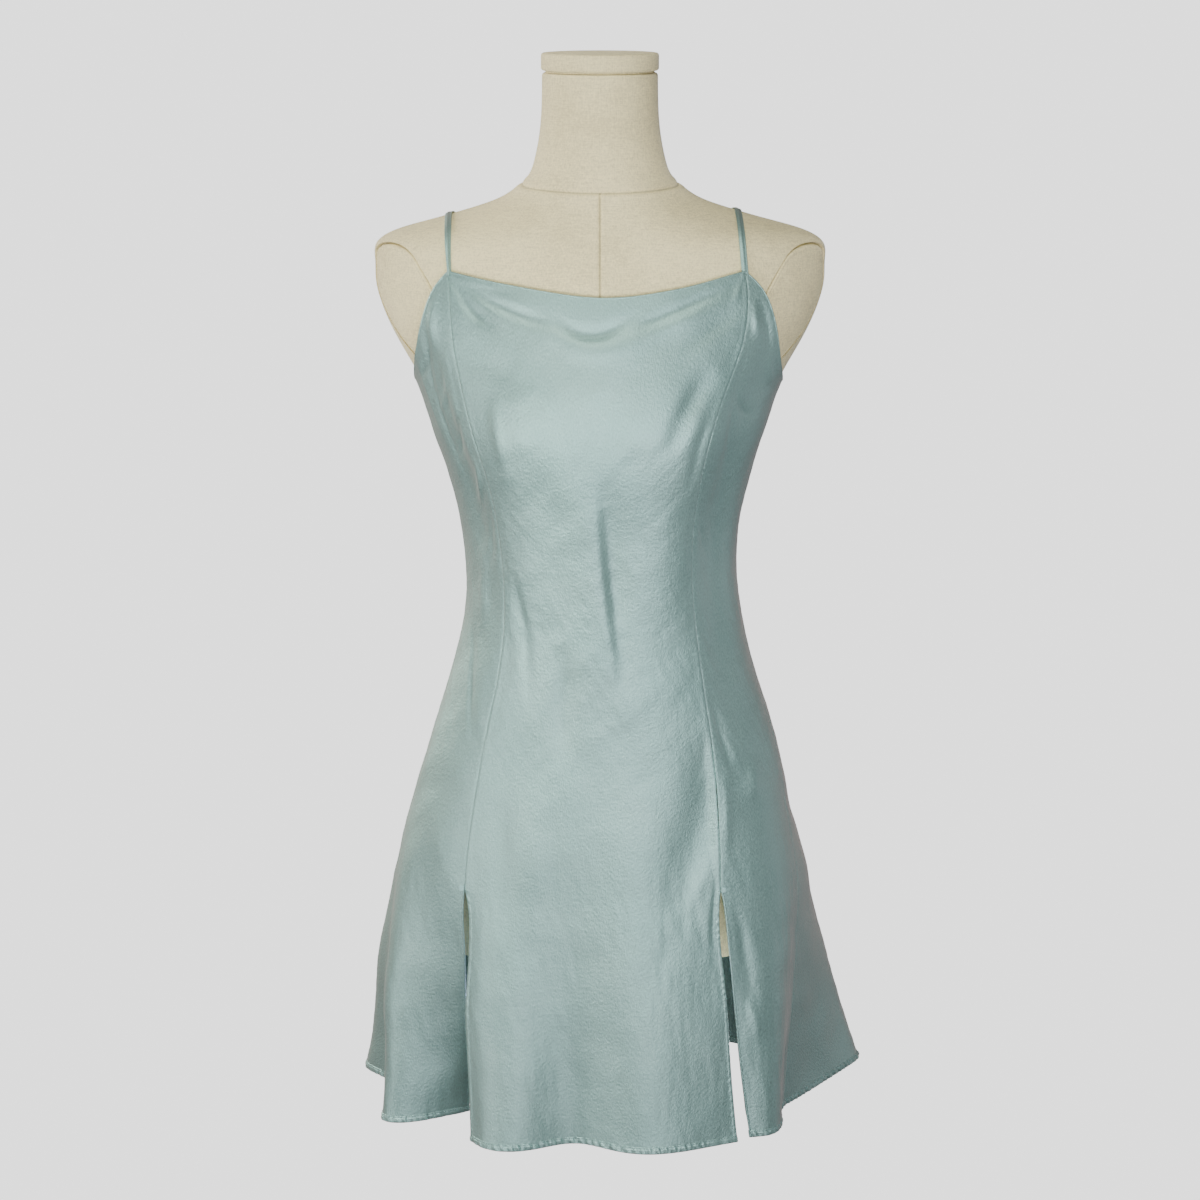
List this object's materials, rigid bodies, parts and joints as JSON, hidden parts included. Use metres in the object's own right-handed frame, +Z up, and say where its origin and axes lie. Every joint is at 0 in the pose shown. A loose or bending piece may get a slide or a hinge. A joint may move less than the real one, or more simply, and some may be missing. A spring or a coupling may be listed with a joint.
{
  "type": "slip dress on a dress form",
  "caption": "Thin-strap satin slip dress with front princess seams that open into slits, worn on a limbless linen dress form on a low round foot.",
  "frame": {"origin": "centre of the foot plate's underside", "axes": "+Z up, the dress faces -Y, +X to the viewer's right"},
  "size_m": [0.4869, 0.3291, 1.0045],
  "materials": {
    "washed_satin": "washed satin",
    "form_linen": "plain weave, matte",
    "foot_paint": "satin powder coat"
  },
  "bodies": {
    "root": {"front_panel": "washed_satin", "side_front_left": "washed_satin", "side_front_right": "washed_satin", "back_panel": "washed_satin", "strap_left": "washed_satin", "strap_right": "washed_satin", "form_torso": "form_linen", "form_armplate_left": "form_linen", "form_armplate_right": "form_linen", "form_neck_cap": "form_linen", "foot_post": "foot_paint", "foot_plate": "foot_paint"}
  },
  "joints": []
}
